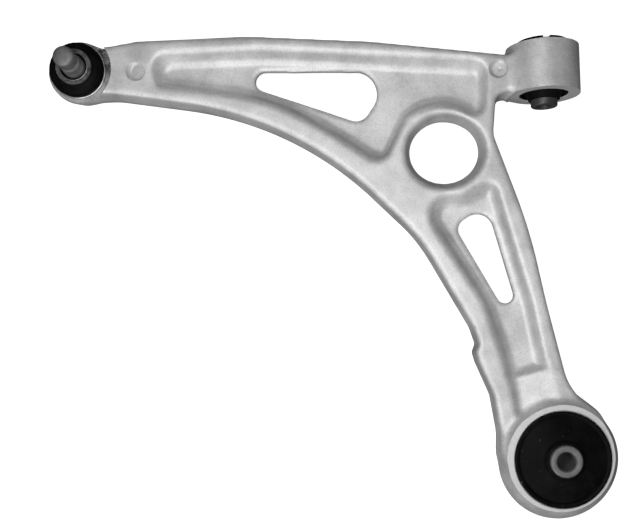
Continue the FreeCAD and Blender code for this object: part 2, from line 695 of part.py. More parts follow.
def turn_half_disc(body, name, radius, height, kind):
    """Adds or cuts a ball centred on the vertical axis at that height."""
    before = volume_of(body)
    sketch = new_sketch(body, name + "_half_disc", "XZ_Plane")
    reach, level = value(radius), value(height)
    centre = FreeCAD.Vector(0, level, 0)
    circle = Part.Circle(centre, FreeCAD.Vector(0, 0, 1), reach)
    arc = sketch.addGeometry(Part.ArcOfCircle(circle, -math.pi / 2, math.pi / 2), False)
    low, high = FreeCAD.Vector(0, level - reach, 0), FreeCAD.Vector(0, level + reach, 0)
    chord = sketch.addGeometry(Part.LineSegment(high, low), False)
    sketch.addConstraint(Sketcher.Constraint("Coincident", arc, 2, chord, 1))
    sketch.addConstraint(Sketcher.Constraint("Coincident", chord, 2, arc, 1))
    sketch.addConstraint(Sketcher.Constraint("PointOnObject", arc, 3, -2))
    sketch.addConstraint(Sketcher.Constraint("PointOnObject", chord, 1, -2))
    sketch.addConstraint(Sketcher.Constraint("PointOnObject", chord, 2, -2))
    bind(sketch, Sketcher.Constraint("DistanceY", -1, 1, arc, 3, level), height)
    bind(sketch, Sketcher.Constraint("Radius", arc, reach), radius)
    feature = body.newObject(f"PartDesign::{kind}", name)
    feature.Profile = sketch
    feature.ReferenceAxis = (sketch, ["V_Axis"])
    feature.Angle = 360.0
    checked_change(body, feature, before, kind == "Revolution")


def make_ball_stud():
    """Ball, tapered shank and straight pin with its pinch-bolt groove and rounded tip."""
    stud = new_body("ball_stud")
    turn_half_disc(stud, "ball", "ball_radius", "ball_centre_z", "Revolution")
    turn_profile(stud, "shank", [
        ("0", "ball_centre_z"), ("stud_neck_radius", "ball_centre_z"),
        ("stud_neck_radius", "boot_collar_z - 2.5"), ("stud_neck_radius - 0.2", "stud_shoulder_z"),
        ("stud_pin_radius", "stud_pin_z"), ("stud_pin_radius", "stud_tip_z - stud_dome_height"),
        ("stud_pin_radius - 0.9", "stud_tip_z - 1.4"), ("stud_pin_radius - 3", "stud_tip_z - 0.4"),
        ("0", "stud_tip_z"),
    ])
    low, high = "stud_groove_z - stud_groove_half_width", "stud_groove_z + stud_groove_half_width"
    turn_profile(stud, "pinch_groove", [
        ("stud_groove_radius", low + " + 1.2"), ("stud_pin_radius + 1", low + " - 0.8"),
        ("stud_pin_radius + 1", high + " + 0.8"), ("stud_groove_radius", high + " - 1.2"),
    ], "Groove")
    turn_profile(stud, "ball_flat", [
        ("0", "race_bottom_z - 1"), ("ball_radius", "race_bottom_z - 1"),
        ("ball_radius", "race_bottom_z + 1.3"), ("0", "race_bottom_z + 1.3"),
    ], "Groove")
    return stud


def make_dust_boot():
    """A thin bellows from the housing's neck to the stud, with a collar round its upper ring."""
    neck, foot = "neck_radius + fit_gap", "housing_shoulder_z + 0.2"
    bulge, wall = "boot_bulge_radius", "boot_wall"
    seat = "clamp_ring_radius - clamp_wire_radius - fit_gap"
    return turned_part("dust_boot", [
        (neck, foot), (bulge + " - 0.8", foot), (bulge + " - 0.8", "clamp_ring_z - 0.9"),
        (seat, "clamp_ring_z - 0.9"), (seat, "clamp_ring_z + 0.9"),
        (bulge + " - 0.6", "clamp_ring_z + 1.4"), (bulge, "clamp_ring_z + 4.2"),
        (bulge + " - 1", "clamp_ring_z + 7.5"), (bulge + " - 4", "boot_collar_z - 0.7"),
        ("boot_collar_radius + 1", "boot_collar_z + 0.2"), ("boot_collar_radius", "boot_collar_z + 1"),
        ("boot_collar_radius", "boot_top_z"), ("boot_ring_radius + fit_gap", "boot_top_z"),
        ("boot_ring_radius + fit_gap", "boot_collar_z + 0.2"),
        ("stud_neck_radius + running_gap", "boot_collar_z - 0.6"),
        ("stud_neck_radius + running_gap", "boot_collar_z - 2"),
        ("boot_collar_radius", "boot_collar_z - 1.6"),
        (bulge + " - 4.6", "boot_collar_z - 2.3"), (bulge + " - 1 - " + wall, "clamp_ring_z + 6.6"),
        (bulge + " - " + wall, "clamp_ring_z + 4"), (neck, "neck_top_z - 0.6"),
    ])


def check_document():
    """Stops if any object of the document failed to recompute."""
    DOC.recompute()
    for item in DOC.Objects:
        if "Invalid" in item.State or "Error" in item.State:
            raise RuntimeError(f"{item.Label} is {item.State}")


def export_parts(bodies):
    os.makedirs("parts", exist_ok=True)
    for body in bodies:
        shape = body.Shape
        if shape.isNull() or not shape.isValid() or not shape.Solids:
            raise RuntimeError(f"{body.Label} has no valid solid")
        shape.exportStep(f"parts/{body.Label}.step")
        print(f"{body.Label}: {shape.Volume / 1000:.1f} cm3")


fill_sheet()
all_bodies = [make_arm_forging(), *make_front_bush(), *make_rear_bush(), *make_ball_joint()]
check_document()
export_parts(all_bodies)
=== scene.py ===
import math

import bmesh
import bpy
import numpy as np
from bpy.props import FloatProperty, FloatVectorProperty, IntProperty, PointerProperty
from mathutils import Matrix, Vector


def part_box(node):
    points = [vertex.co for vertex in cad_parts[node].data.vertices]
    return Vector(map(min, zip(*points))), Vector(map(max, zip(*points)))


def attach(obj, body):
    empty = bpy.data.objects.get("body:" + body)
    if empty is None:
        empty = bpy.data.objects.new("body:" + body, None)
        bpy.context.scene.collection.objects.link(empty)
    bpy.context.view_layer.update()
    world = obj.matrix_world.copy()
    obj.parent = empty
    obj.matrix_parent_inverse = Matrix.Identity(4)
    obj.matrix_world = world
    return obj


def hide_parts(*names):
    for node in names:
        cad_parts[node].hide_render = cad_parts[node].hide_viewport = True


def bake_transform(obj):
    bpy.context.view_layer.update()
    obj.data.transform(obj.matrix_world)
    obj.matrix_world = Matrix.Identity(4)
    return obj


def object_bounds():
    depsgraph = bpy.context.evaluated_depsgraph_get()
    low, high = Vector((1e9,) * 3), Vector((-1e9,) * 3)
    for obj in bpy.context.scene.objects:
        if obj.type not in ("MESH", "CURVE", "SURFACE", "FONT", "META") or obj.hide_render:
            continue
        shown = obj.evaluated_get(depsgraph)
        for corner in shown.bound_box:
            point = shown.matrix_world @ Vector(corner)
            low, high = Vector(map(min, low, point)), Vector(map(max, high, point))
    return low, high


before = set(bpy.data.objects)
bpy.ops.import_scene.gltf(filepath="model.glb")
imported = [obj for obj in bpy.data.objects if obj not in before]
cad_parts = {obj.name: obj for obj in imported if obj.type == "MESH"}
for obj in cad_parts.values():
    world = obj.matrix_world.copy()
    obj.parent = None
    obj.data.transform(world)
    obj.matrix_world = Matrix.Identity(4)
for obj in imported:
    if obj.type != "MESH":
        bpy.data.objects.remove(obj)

bl_info = {
    "name": "Forged Control Arm",
    "version": (1, 0, 0),
    "blender": (4, 5, 0),
    "location": "View3D > Sidebar > Control Arm",
    "description": "Makes the looks of a forged front lower control arm round its CAD frame",
    "category": "Add Mesh",
}

MM = 0.001  # the shapes below are worked out in millimetres, and Blender holds metres
CAD_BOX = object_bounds()


def corners_of(node):
    """The lowest and highest corners of a CAD node's box, in millimetres."""
    low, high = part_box(node)
    return np.array(low) / MM, np.array(high) / MM


def axis_of(node):
    """Where a node's middle stands in plan, at the height of the parting plane."""
    low, high = corners_of(node)
    return (low + high) / 2 * (1, 1, 0)


REAR_BUSH = axis_of("rear_bush_shell")
BALL_JOINT = axis_of("boot_clamp_ring")
FRONT_BUSH = np.zeros(3)  # the frame's origin is the front bush's centre

# All outlines are corners in plan, as (x, y, corner radius) in millimetres. The arm's own
# outline is at the parting plane, without the three ends.
ARM_OUTLINE = [
    (-362.0, -9.5, 9.0), (-329.0, -9.0, 60.0), (-194.0, -32.0, 258.0), (-102.0, -126.0, 124.0),
    (-65.0, -194.0, 12.0), (-60.8, -207.3, 4.0), (-63.6, -213.0, 5.0), (-61.5, -221.0, 8.0),
    (-51.0, -247.0, 19.0), (-46.8, -276.0, 60.0), (-45.4, -296.0, 7.0), (31.0, -296.0, 7.0),
    (31.0, -264.0, 6.0), (9.0, -242.0, 42.0), (-5.0, -179.0, 400.0), (-16.0, -121.0, 400.0),
    (-40.5, -49.0, 18.0), (-37.5, -21.0, 6.0), (-14.0, -15.0, 6.0), (-14.0, 10.0, 6.0),
    (-133.0, 26.2, 150.0), (-227.0, 33.7, 150.0), (-309.0, 33.0, 30.0), (-334.0, 29.4, 30.0),
    (-362.0, 33.0, 9.0),
]
# Upper edges of the two pockets and the shallow panel, and the windows through the web.
FRONT_POCKET = [
    (-304.5, 21.7, 13.0), (-214.0, 22.0, 150.0), (-45.0, 7.0, 13.0), (-48.0, -40.0, 9.0),
    (-84.5, -19.5, 40.0), (-107.5, -34.5, 6.0), (-126.0, -71.0, 12.0), (-205.6, -18.3, 175.0),
    (-294.0, -3.1, 5.0),
]
REAR_POCKET = [
    (-43.5, -82.0, 8.0), (-66.5, -94.0, 14.0), (-104.2, -94.0, 15.0), (-54.5, -177.0, 40.0),
    (-36.7, -237.0, 3.0), (-9.2, -228.5, 3.0), (-18.2, -177.0, 120.0),
]
END_PANEL = [(-38.5, -228.0, 2.0), (-31.5, -268.0, 2.0), (2.5, -268.0, 2.0), (-9.5, -222.0, 2.0)]
PANEL_SLOPE = 0.13  # the shallow panel's floor rises towards the inboard rib
# The share by which the walls' lean changes on the inboard side of the pockets and the panel.
POCKET_INBOARD_LEAN, PANEL_INBOARD_LEAN = -0.6, 1.0
FRONT_WINDOW = [
    (-260.0, 9.3, 7.5), (-134.0, 4.8, 16.0), (-125.8, -14.0, 17.5), (-141.0, -35.0, 11.0),
    (-170.6, -23.7, 200.0),
]
REAR_WINDOW = [
    (-47.6, -100.5, 12.5), (-73.0, -116.0, 9.0), (-39.9, -177.0, 6.2), (-27.8, -176.8, 6.2),
]
# The round hole is an oval that widens towards the ribs' tops, and drifts as it rises.
HOLE_CENTRE = (-78.7, -59.3)
HOLE_HALF_LENGTH, HOLE_HALF_WIDTH = 26.2, 23.6
HOLE_FLARE = 4.8
HOLE_DRIFT = 1.5

# The raw ends, before they are machined, in millimetres and radians.
REAR_EYE_CENTRE = (0.0, -298.3)
REAR_EYE_RADIUS = 46.2
REAR_EYE_LEAN = math.radians(9.5)
REAR_EYE_HALF_HEIGHT = 20.6
SHOULDER_CENTRE = (-1.5, -295.2)  # off the eye's own centre, so the faced ring differs in width
SHOULDER_RADIUS = 50.8
SHOULDER_LEAN = math.radians(27.5)
HOUSING_RADIUS = 23.2
HOUSING_HALF_HEIGHT = 20.0
HOUSING_TOP = 13.0
HOUSING_TAPER_BELOW, HOUSING_TAPER_ABOVE = 0.22, 0.02  # radius lost per unit of height
FRONT_EYE_RADIUS = 27.8
FRONT_EYE_HALF_LENGTH = 20.5

# Widths of the fillets from the ribs to the ends, and of the rounding along the windows.
REAR_EYE_BLEND, HOUSING_BLEND, FRONT_EYE_BLEND = 8.0, 4.0, 7.0
WINDOW_BLEND = 1.8

# How far the net's grid stands past the arm's box.
NET_MARGIN_BELOW = (4.0, 4.0, 3.1)  # unlike in Z, so that no flat face falls on the grid
NET_MARGIN_ABOVE = (4.0, 4.0, 3.3)

# Heights on the soft pieces. The boot is two pieces that meet at its split.
BOOT_SPLIT = 14.6
LOWER_BOOT_SPAN = (7.0, 14.4)
UPPER_BOOT_SPAN = (14.8, 17.6)
COLLAR_HEIGHT = 20.0  # the boot is dusty above it
HIGHLIGHT_RING_RADIUS, HIGHLIGHT_RING_HEIGHT = 33.15, 19.9  # inside them the rear shell's lip is painted pale steel, a painted highlight

# Base colours.
DUST = (0.10, 0.10, 0.10)
# Painted highlight: pale steel for the thin ring on the rear shell's lip
LIP_HIGHLIGHT_STEEL = (0.42, 0.42, 0.42)
REAR_SLEEVE_STEEL = (0.17, 0.17, 0.175)
FRONT_SLEEVE_STEEL = (0.07, 0.07, 0.072)
STUD_STEEL = (0.19, 0.19, 0.195)
RING_STEEL = (0.36, 0.36, 0.36)
CLAMP_STEEL = (0.7, 0.7, 0.7)
CAP_STEEL = (0.6, 0.6, 0.6)
CHANNEL_NYLON = (0.07, 0.07, 0.07)
RACE_ACETAL = (0.75, 0.73, 0.68)

# The stage, in metres.
KEY_PLACE, KEY_SIZE = (-0.45, -0.95, 0.62), 0.5
TOP_PLACE, TOP_SIZE = (-0.2, -0.15, 0.6), 0.3
PAPER_REACH, PAPER_HEIGHT, PAPER_BEND = 4.0, 5.0, 1.2
PAPER_GAP = 0.0002  # between the paper and the arm's lowest point
CAMERA_PLACE = (-0.1551, -0.2051, 0.7354)
CAMERA_TURN = math.radians(-2.24)
SENSOR_WIDTH, FOCAL_LENGTH = 36.0, 53.72  # millimetres
LENS_SHIFT = (-0.05, 0.1273)


class ArmSizes(bpy.types.PropertyGroup):
    """Sizes and colours of the forging."""

    rib_half_height: FloatProperty(
        name="Rib half height", description="From the parting plane to the top of the ribs, in mm",
        default=15.0, min=8.0, max=25.0)
    web_half_height: FloatProperty(
        name="Web half height", description="Half the thickness of the web, in mm",
        default=3.5, min=1.5, max=8.0)
    panel_half_height: FloatProperty(
        name="Panel half height",
        description="Half height of the shallow panel by the rear eye, in mm",
        default=9.0, min=3.0, max=14.0)
    wall_draft: FloatProperty(
        name="Wall draft", description="Lean of the outer walls", subtype="ANGLE",
        default=math.radians(7.0))
    pocket_draft: FloatProperty(
        name="Pocket draft", description="Lean of the pocket walls", subtype="ANGLE",
        default=math.radians(29.0))
    edge_blend: FloatProperty(
        name="Edge blend", description="Width of the rounding along the ribs, in mm",
        default=3.0, min=0.5, max=12.0)
    floor_blend: FloatProperty(
        name="Floor blend", description="Width of the fillet round the pocket floors, in mm",
        default=4.0, min=0.5, max=14.0)
    cell: FloatProperty(
        name="Cell", description="Grid spacing of the surface, in mm",
        default=1.5, min=1.0, max=6.0)
    skin_colour: FloatVectorProperty(
        name="Skin colour", description="Blasted aluminium", subtype="COLOR",
        size=3, default=(0.62, 0.62, 0.62), min=0.0, max=1.0)
    machined_colour: FloatVectorProperty(
        name="Machined colour", description="Freshly cut aluminium", subtype="COLOR",
        size=3, default=(0.66, 0.66, 0.66), min=0.0, max=1.0)


class BushSizes(bpy.types.PropertyGroup):
    """Sizes and colour of the turned pieces: the bushes and the ball joint."""

    turn_steps: IntProperty(
        name="Turn steps", description="Facets round a turned piece", default=128, min=24, max=360)
    rubber_colour: FloatVectorProperty(
        name="Rubber colour", description="Moulded rubber", subtype="COLOR",
        size=3, default=(0.004, 0.004, 0.004), min=0.0, max=1.0)
    notch_width: FloatProperty(
        name="Notch width", description="Width of the notch in the front flange, in mm",
        default=5.0, min=0.5, max=8.0)


class StageSettings(bpy.types.PropertyGroup):
    """Strengths of the studio's lights."""

    key_power: FloatProperty(
        name="Key power", description="Soft low light from the rear side, in watts",
        default=5.3, min=0.0, unit="POWER")
    top_power: FloatProperty(
        name="Top power", description="Soft light close overhead, in watts",
        default=2.45, min=0.0, unit="POWER")
    surround: FloatProperty(
        name="Surround", description="Brightness of the white surround",
        default=0.09, min=0.0)


# Outlines and meshes


def rounded(corners, chord=0.7, closed=True):
    """Points along straight runs joined by tangent arcs of each corner's radius.

    An arc's centre lies on the corner's bisector at radius / sin(half the corner's angle).
    """
    corners = np.array(corners, float)
    where, radii = corners[:, :2], corners[:, 2]
    count = len(where)
    points = []
    for index in range(count):
        if radii[index] <= 0 or (not closed and index in (0, count - 1)):
            points.append(where[index][None])
            continue
        back = where[index - 1] - where[index]
        ahead = where[(index + 1) % count] - where[index]
        back, ahead = back / np.linalg.norm(back), ahead / np.linalg.norm(ahead)
        half = math.acos(float(np.clip(back @ ahead, -1, 1))) / 2
        bisector = (back + ahead) / np.linalg.norm(back + ahead)
        centre = where[index] + bisector * radii[index] / math.sin(half)
        first = where[index] + back * radii[index] / math.tan(half) - centre
        last = where[index] + ahead * radii[index] / math.tan(half) - centre
        start = math.atan2(first[1], first[0])
        sweep = (math.atan2(last[1], last[0]) - start + math.pi) % (2 * math.pi) - math.pi
        steps = max(3, int(abs(sweep) * radii[index] / chord) + 2)
        turn = start + sweep * np.linspace(0, 1, steps)
        points.append(centre + radii[index] * np.stack([np.cos(turn), np.sin(turn)], 1))
    return np.concatenate(points)


def signed_distance(corners, x, y):
    """Distance in plan to a rounded outline, negative inside it.

    It is the least distance to any edge, and a point is inside where the edges cross a ray
    to +X an odd number of times.
    """
    outline = rounded(corners, chord=1.2)
    shape = np.broadcast_shapes(x.shape, y.shape)
    nearest = np.full(shape, np.inf)
    inside = np.zeros(shape, bool)
    for (ax, ay), (bx, by) in zip(outline, np.roll(outline, -1, axis=0)):
        ex, ey = bx - ax, by - ay
        length = ex * ex + ey * ey
        if length < 1e-12:
            continue
        along = np.clip(((x - ax) * ex + (y - ay) * ey) / length, 0, 1)
        nearest = np.minimum(nearest, (x - ax - along * ex) ** 2 + (y - ay - along * ey) ** 2)
        crosses = (ay > y) != (by > y)
        if ey != 0:
            inside ^= crosses & (x < ax + (y - ay) * ex / ey)
    return np.where(inside, -1.0, 1.0) * np.sqrt(nearest)


def soft_max(a, b, width):
    """The larger of two fields, rounded where they are within the width of each other."""
    overlap = np.maximum(width - np.abs(a - b), 0) / width
    return np.maximum(a, b) + overlap * overlap * width / 4


def soft_min(a, b, width):
    """The smaller of two fields, rounded in the same way."""
    return -soft_max(-a, -b, width)


def add_mesh(name, points, faces, sharp_angle=38.0):
    """A mesh object at the origin, from points in millimetres, with its faces turned outwards."""
    mesh = bpy.data.meshes.new(name)
    mesh.from_pydata(points * MM, [], faces)
    mesh.update()
    piece = bpy.data.objects.new(name, mesh)
    bpy.context.scene.collection.objects.link(piece)
    tidy_mesh(mesh, sharp_angle)
    return piece


def tidy_mesh(mesh, sharp_angle=38.0, merge=1e-7):
    """Merges double points, turns faces outwards, and shades smooth but for sharp edges."""
    shell = bmesh.new()
    shell.from_mesh(mesh)
    bmesh.ops.remove_doubles(shell, verts=shell.verts, dist=merge)
    bmesh.ops.recalc_face_normals(shell, faces=shell.faces)
    shell.to_mesh(mesh)
    shell.free()
    mesh.shade_smooth()
    mesh.set_sharp_from_angle(angle=math.radians(sharp_angle))


def grid_faces(rows, columns, wrap_rows, wrap_columns):
    """Quads between neighbouring points of a grid held row by row."""
    row = np.arange(rows if wrap_rows else rows - 1)[:, None]
    column = np.arange(columns if wrap_columns else columns - 1)[None]
    next_row, next_column = (row + 1) % rows, (column + 1) % columns
    corners = [
        row * columns + column, row * columns + next_column,
        next_row * columns + next_column, next_row * columns + column,
    ]
    return np.stack([c.ravel() for c in corners], 1)


def turned(name, profile, place, axis="z", steps=None, extra_turns=(), shape=None):
    """Carries a (radius, height) profile round an axis.

    Point (u, v) is the place + radius(v) * (cos u, sin u) across the axis + height(v) along it.
    The shape function may change radius and height with the angle u. A profile that starts and
    ends on the axis closes in a pole at each end, and any other closes on itself.
    """
    steps = steps or bpy.context.scene.bush_sizes.turn_steps
    turn = np.linspace(0, 2 * math.pi, steps, endpoint=False)
    turn = np.sort(np.concatenate([turn, extra_turns]))[:, None]
    steps = len(turn)
    radius, height = profile[:, 0][None], profile[:, 1][None]
    if shape:
        radius, height = shape(turn, radius, height)
    radius = np.broadcast_to(radius, (steps, len(profile)))
    height = np.broadcast_to(height, (steps, len(profile)))
    across, along = radius * np.cos(turn), radius * np.sin(turn)
    stack = (across, along, height) if axis == "z" else (across, height, -along)
    points = np.stack(stack, 2).reshape(-1, 3) + place
    poles = profile[0, 0] < 1e-9 and profile[-1, 0] < 1e-9
    faces = grid_faces(steps, len(profile), True, not poles)
    return add_mesh(name, points, faces.tolist())


def swept_wire(name, path, radius, sides=10):
    """A round wire along an open path.

    Point (u, v) is path(v) + radius * (cos u * side(v) + sin u * lift(v)), where side and lift
    are square to the path, and the radius shrinks to nothing at both ends.
    """
    tangent = np.gradient(path, axis=0)
    tangent /= np.linalg.norm(tangent, axis=1)[:, None]
    side = np.cross(tangent, (0.0, 0.0, 1.0))
    side /= np.linalg.norm(side, axis=1)[:, None]
    lift = np.cross(side, tangent)
    turn = np.linspace(0, 2 * math.pi, sides, endpoint=False)[None, :, None]
    taper = np.ones(len(path))
    taper[[0, -1]] = 1e-4
    ring = side[:, None] * np.cos(turn) + lift[:, None] * np.sin(turn)
    points = path[:, None] + ring * radius * taper[:, None, None]
    faces = grid_faces(len(path), sides, False, True)
    return add_mesh(name, points.reshape(-1, 3), faces.tolist(), 60.0)


def surface_net(field, low, cell):
    """A closed skin of quads where a sampled field is zero.

    Each cell of the grid that the surface passes through gets one point, at the mean of the
    places where it crosses the cell's edges, and each crossed edge gets one quad.
    """
    shape = np.array(field.shape)
    cell_shape = shape - 1
    edges = []
    for axis in range(3):
        near = [slice(None)] * 3
        far = [slice(None)] * 3
        near[axis], far[axis] = slice(None, -1), slice(1, None)
        a, b = field[tuple(near)], field[tuple(far)]
        where = np.argwhere((a < 0) != (b < 0))
        fa, fb = a[tuple(where.T)], b[tuple(where.T)]
        crossing = where.astype(float)
        crossing[:, axis] += fa / (fa - fb)
        edges.append((axis, where, crossing, fa < 0))
    owners, crossings, quads = [], [], []
    for axis, where, crossing, starts_inside in edges:
        first, second = ((1, 2), (2, 0), (0, 1))[axis]
        ring = []
        for step_first, step_second in ((0, 0), (-1, 0), (-1, -1), (0, -1)):
            owner = where.copy()
            owner[:, first] += step_first
            owner[:, second] += step_second
            ring.append(np.ravel_multi_index(owner.T, cell_shape))
            crossings.append(crossing)
        owners += ring
        quad = np.stack(ring, 1)
        quads.append(np.where(starts_inside[:, None], quad, quad[:, ::-1]))
    cells, index = np.unique(np.concatenate(owners), return_inverse=True)
    crossings = np.concatenate(crossings)
    number = np.bincount(index)
    points = np.stack([np.bincount(index, crossings[:, k]) / number for k in range(3)], 1)
    faces = np.searchsorted(cells, np.concatenate(quads))
    return low + points * cell, faces


# Materials


def new_material(name):
    """An empty node material: its tree, its shader and the coordinates on the piece."""
    material = bpy.data.materials.new(name)
    material.use_nodes = True
    tree = material.node_tree
    tree.nodes.clear()
    output = tree.nodes.new("ShaderNodeOutputMaterial")
    shader = tree.nodes.new("ShaderNodeBsdfPrincipled")
    tree.links.new(shader.outputs["BSDF"], output.inputs["Surface"])
    place = tree.nodes.new("ShaderNodeTexCoord").outputs["Object"]
    return material, tree, shader, place


def noise(tree, place, scale, detail=2.0, roughness=0.5):
    """A noise pattern whose grain is 1 / scale metres."""
    node = tree.nodes.new("ShaderNodeTexNoise")
    node.inputs["Scale"].default_value = scale
    node.inputs["Detail"].default_value = detail
    node.inputs["Roughness"].default_value = roughness
    tree.links.new(place, node.inputs["Vector"])
    return node.outputs["Fac"]


def ramp(tree, value, stops):
    """Maps a value to grey or colour between (position, colour) stops."""
    node = tree.nodes.new("ShaderNodeValToRGB")
    band = node.color_ramp
    for index, (position, colour) in enumerate(stops):
        stop = band.elements[index] if index < 2 else band.elements.new(position)
        stop.position = position
        stop.color = (*colour, 1.0) if hasattr(colour, "__len__") else (colour,) * 3 + (1.0,)
    tree.links.new(value, node.inputs["Fac"])
    return node.outputs["Color"]


def spread(tree, value, low, high):
    """Rescales a pattern from 0..1 to low..high."""
    node = tree.nodes.new("ShaderNodeMapRange")
    node.inputs["To Min"].default_value = low
    node.inputs["To Max"].default_value = high
    tree.links.new(value, node.inputs["Value"])
    return node.outputs["Result"]


def mix_colour(tree, amount, first, second, mode="MIX"):
    """Goes from the first colour to the second, or multiplies them, by an amount."""
    node = tree.nodes.new("ShaderNodeMix")
    node.data_type = "RGBA"
    node.blend_type = mode
    sockets = (node.inputs[0], node.inputs[6], node.inputs[7])  # factor, A and B as colours
    for socket, source in zip(sockets, (amount, first, second)):
        if isinstance(source, bpy.types.NodeSocket):
            tree.links.new(source, socket)
        elif isinstance(source, tuple):
            socket.default_value = (*source, 1.0)
        else:
            socket.default_value = source
    return node.outputs[2]


def bump(tree, height, distance, strength=1.0, under=None):
    """A bump of a pattern, on top of another bump."""
    node = tree.nodes.new("ShaderNodeBump")
    node.inputs["Distance"].default_value = distance
    node.inputs["Strength"].default_value = strength
    tree.links.new(height, node.inputs["Height"])
    if under:
        tree.links.new(under, node.inputs["Normal"])
    return node.outputs["Normal"]


def blasted_aluminium():
    """Forging skin: shot-blast grain under 1 mm and soft mottling over 1 cm."""
    sizes = bpy.context.scene.arm_sizes
    material, tree, shader, place = new_material("blasted_aluminium")
    skin = np.array(sizes.skin_colour)
    mottle = noise(tree, place, 38.0, 5.0, 0.65)
    colour = ramp(tree, mottle, [(0.34, skin * 0.80), (0.52, skin), (0.70, skin * 1.18)])
    grain = noise(tree, place, 800.0, 2.0, 0.6)
    speckle = ramp(tree, grain, [(0.33, 0.82), (0.50, 1.0)])
    colour = mix_colour(tree, 1.0, colour, speckle, "MULTIPLY")
    tree.links.new(colour, shader.inputs["Base Color"])
    shader.inputs["Metallic"].default_value = 0.35
    tree.links.new(spread(tree, mottle, 0.42, 0.62), shader.inputs["Roughness"])
    under = bump(tree, noise(tree, place, 120.0, 3.0), 0.00025, 0.6)
    tree.links.new(bump(tree, grain, 0.00012, 0.8, under), shader.inputs["Normal"])
    return material


def rubber(name, gloss=0.04):
    """Moulded black rubber with a faint grain, smeared gloss and pale dust specks."""
    sizes = bpy.context.scene.bush_sizes
    material, tree, shader, place = new_material(name)
    shader.inputs["Specular IOR Level"].default_value = gloss
    base = np.array(sizes.rubber_colour)
    smear = noise(tree, place, 70.0, 3.0, 0.6)
    colour = ramp(tree, smear, [(0.35, base * 0.7), (0.75, base * 1.8)])
    dust = ramp(tree, noise(tree, place, 700.0, 1.0), [(0.76, 0.0), (0.82, 1.0)])
    colour = mix_colour(tree, dust, colour, DUST)
    tree.links.new(colour, shader.inputs["Base Color"])
    tree.links.new(spread(tree, smear, 0.40, 0.65), shader.inputs["Roughness"])
    fine = noise(tree, place, 1500.0, 2.0)
    tree.links.new(bump(tree, fine, 0.00005, 0.5), shader.inputs["Normal"])
    return material


def dusty_rubber():
    """The boot's collar, grey with rubbed-in dust in patches of a few millimetres."""
    material, tree, shader, place = new_material("collar_rubber")
    dust = noise(tree, place, 240.0, 4.0, 0.7)
    tree.links.new(ramp(tree, dust, [(0.35, 0.03), (0.65, 0.14)]), shader.inputs["Base Color"])
    shader.inputs["Specular IOR Level"].default_value = 0.2
    tree.links.new(spread(tree, dust, 0.5, 0.75), shader.inputs["Roughness"])
    tree.links.new(bump(tree, dust, 0.0001, 0.5), shader.inputs["Normal"])
    return material


def dull_steel(name, colour, roughness=(0.32, 0.5), metallic=0.9, grain=1400.0):
    """Steel with fine turned grain and a cloudy surface film."""
    material, tree, shader, place = new_material(name)
    colour = np.array(colour)
    film = noise(tree, place, 160.0, 3.0, 0.6)
    shade = ramp(tree, film, [(0.3, colour * 0.75), (0.75, colour * 1.25)])
    tree.links.new(shade, shader.inputs["Base Color"])
    shader.inputs["Metallic"].default_value = metallic
    tree.links.new(spread(tree, film, *roughness), shader.inputs["Roughness"])
    tree.links.new(
        bump(tree, noise(tree, place, grain, 2.0), 0.00004, 0.5), shader.inputs["Normal"])
    return material


def moulded_plastic(name, colour):
    """Injection-moulded plastic with a slight cloud and a fine texture."""
    material, tree, shader, place = new_material(name)
    colour = np.array(colour)
    cloud = noise(tree, place, 90.0, 2.0)
    shade = ramp(tree, cloud, [(0.3, colour * 0.9), (0.7, colour * 1.08)])
    tree.links.new(shade, shader.inputs["Base Color"])
    tree.links.new(spread(tree, cloud, 0.35, 0.5), shader.inputs["Roughness"])
    tree.links.new(bump(tree, noise(tree, place, 1800.0), 0.00003, 0.4), shader.inputs["Normal"])
    return material


def machined_aluminium():
    """Turned faces of the forging: brighter and smoother, with a faint fine grain."""
    sizes = bpy.context.scene.arm_sizes
    material, tree, shader, place = new_material("machined_aluminium")
    colour = np.array(sizes.machined_colour)
    film = noise(tree, place, 220.0, 3.0, 0.6)
    shade = ramp(tree, film, [(0.3, colour * 0.9), (0.7, colour)])
    tree.links.new(shade, shader.inputs["Base Color"])
    shader.inputs["Metallic"].default_value = 0.35
    tree.links.new(spread(tree, film, 0.45, 0.6), shader.inputs["Roughness"])
    tree.links.new(bump(tree, noise(tree, place, 1600.0), 0.00003, 0.4), shader.inputs["Normal"])
    return material


def grease_and_shade_aluminium():
    """The turned seat round the ball joint: cut metal with dark grease smears, turning to painted
    shade on its +Y side.
    """
    material, tree, shader, place = new_material("grease_and_shade_aluminium")
    smear = noise(tree, place, 260.0, 4.0, 0.7)
    grease_and_shade = ramp(tree, smear, [(0.40, 0.03), (0.52, 0.20), (0.68, 0.50)])
    split = tree.nodes.new("ShaderNodeSeparateXYZ")
    tree.links.new(place, split.inputs[0])
    # Painted shade: the seat goes from cut metal on its -Y side to the dark smear on its +Y side
    side = tree.nodes.new("ShaderNodeMapRange")
    side.inputs["From Min"].default_value = (BALL_JOINT[1] - 12.0) * MM
    side.inputs["From Max"].default_value = (BALL_JOINT[1] + 3.0) * MM
    tree.links.new(split.outputs["Y"], side.inputs["Value"])
    metal = ramp(tree, smear, [(0.35, 0.40), (0.70, 0.62)])
    tree.links.new(mix_colour(tree, side.outputs["Result"], metal, grease_and_shade),
                   shader.inputs["Base Color"])
    shader.inputs["Metallic"].default_value = 0.4
    tree.links.new(spread(tree, smear, 0.25, 0.5), shader.inputs["Roughness"])
    tree.links.new(bump(tree, smear, 0.0002, 0.5), shader.inputs["Normal"])
    return material


def pale_floor():
    """White paper swept up to a ceiling, with a faint cloud, lit so that its bends don't show."""
    material, tree, shader, place = new_material("paper")
    cloud = noise(tree, place, 6.0, 2.0)
    tree.links.new(ramp(tree, cloud, [(0.3, 0.54), (0.7, 0.56)]), shader.inputs["Base Color"])
    shader.inputs["Roughness"].default_value = 0.9
    shader.inputs["Emission Color"].default_value = (1.0, 1.0, 1.0, 1.0)
    shader.inputs["Emission Strength"].default_value = 0.93
    return material


